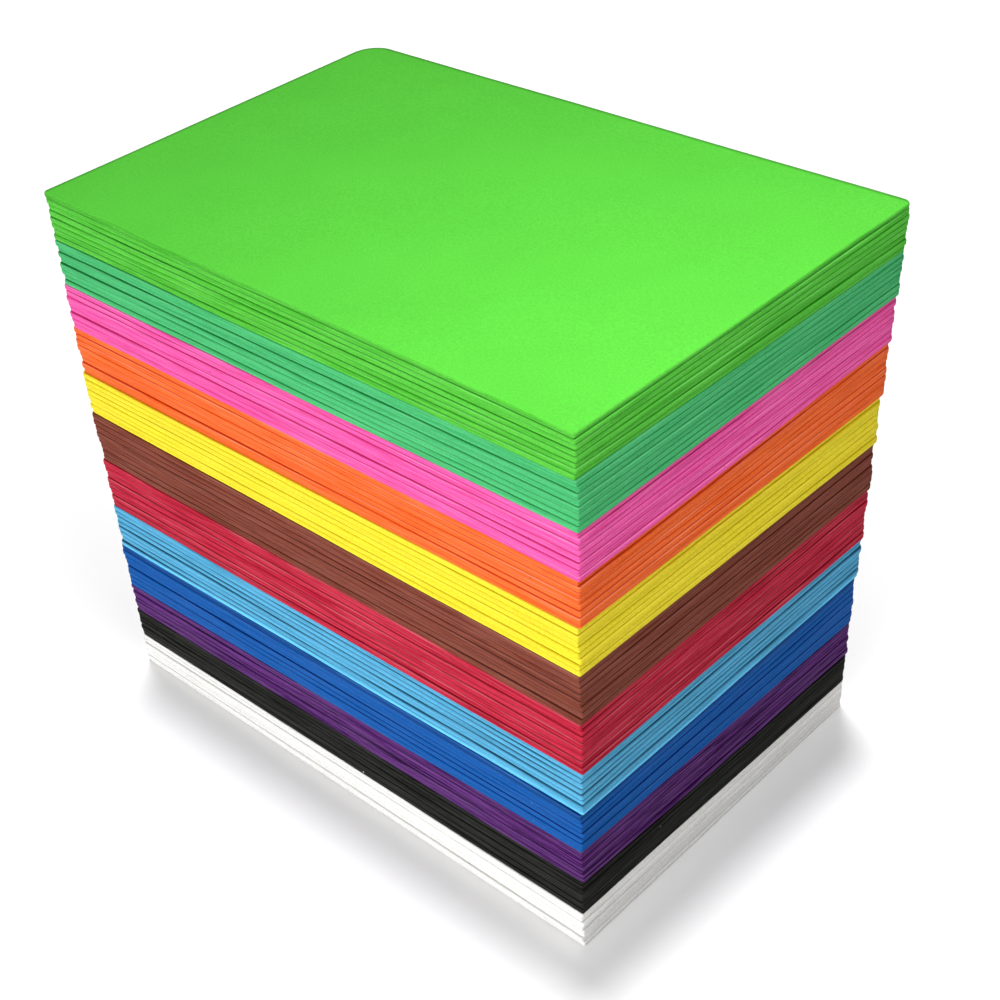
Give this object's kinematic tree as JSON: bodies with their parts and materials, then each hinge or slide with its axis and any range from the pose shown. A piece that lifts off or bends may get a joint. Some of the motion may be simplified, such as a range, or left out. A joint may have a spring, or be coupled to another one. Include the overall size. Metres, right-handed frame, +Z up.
{
  "type": "eva foam sheet stack",
  "caption": "Squared stack of thin matte craft foam sheets in colour blocks, each sheet flat and flexible, for cutting and gluing.",
  "frame": {"origin": "middle of the lowest sheet's underside, on the floor", "axes": "+Z up through the stack, X along the sheets' long side, Y along their short side"},
  "size_m": [0.2249, 0.1435, 0.1915],
  "materials": {
    "white_foam": "matte closed-cell EVA foam, white",
    "black_foam": "matte closed-cell EVA foam, black",
    "purple_foam": "matte closed-cell EVA foam, purple",
    "blue_foam": "matte closed-cell EVA foam, blue",
    "light_blue_foam": "matte closed-cell EVA foam, light blue",
    "red_foam": "matte closed-cell EVA foam, red",
    "brown_foam": "matte closed-cell EVA foam, brown",
    "yellow_foam": "matte closed-cell EVA foam, yellow",
    "orange_foam": "matte closed-cell EVA foam, orange",
    "pink_foam": "matte closed-cell EVA foam, pink",
    "teal_foam": "matte closed-cell EVA foam, teal",
    "light_green_foam": "matte closed-cell EVA foam, light green"
  },
  "bodies": {
    "root": {"white_layer": "white_foam", "black_layer": "black_foam", "purple_layer": "purple_foam", "blue_layer": "blue_foam", "light_blue_layer": "light_blue_foam", "red_layer": "red_foam", "brown_layer": "brown_foam", "yellow_layer": "yellow_foam", "orange_layer": "orange_foam", "pink_layer": "pink_foam", "teal_layer": "teal_foam", "light_green_layer": "light_green_foam", "light_green_top_sheet": "light_green_foam"}
  },
  "joints": []
}
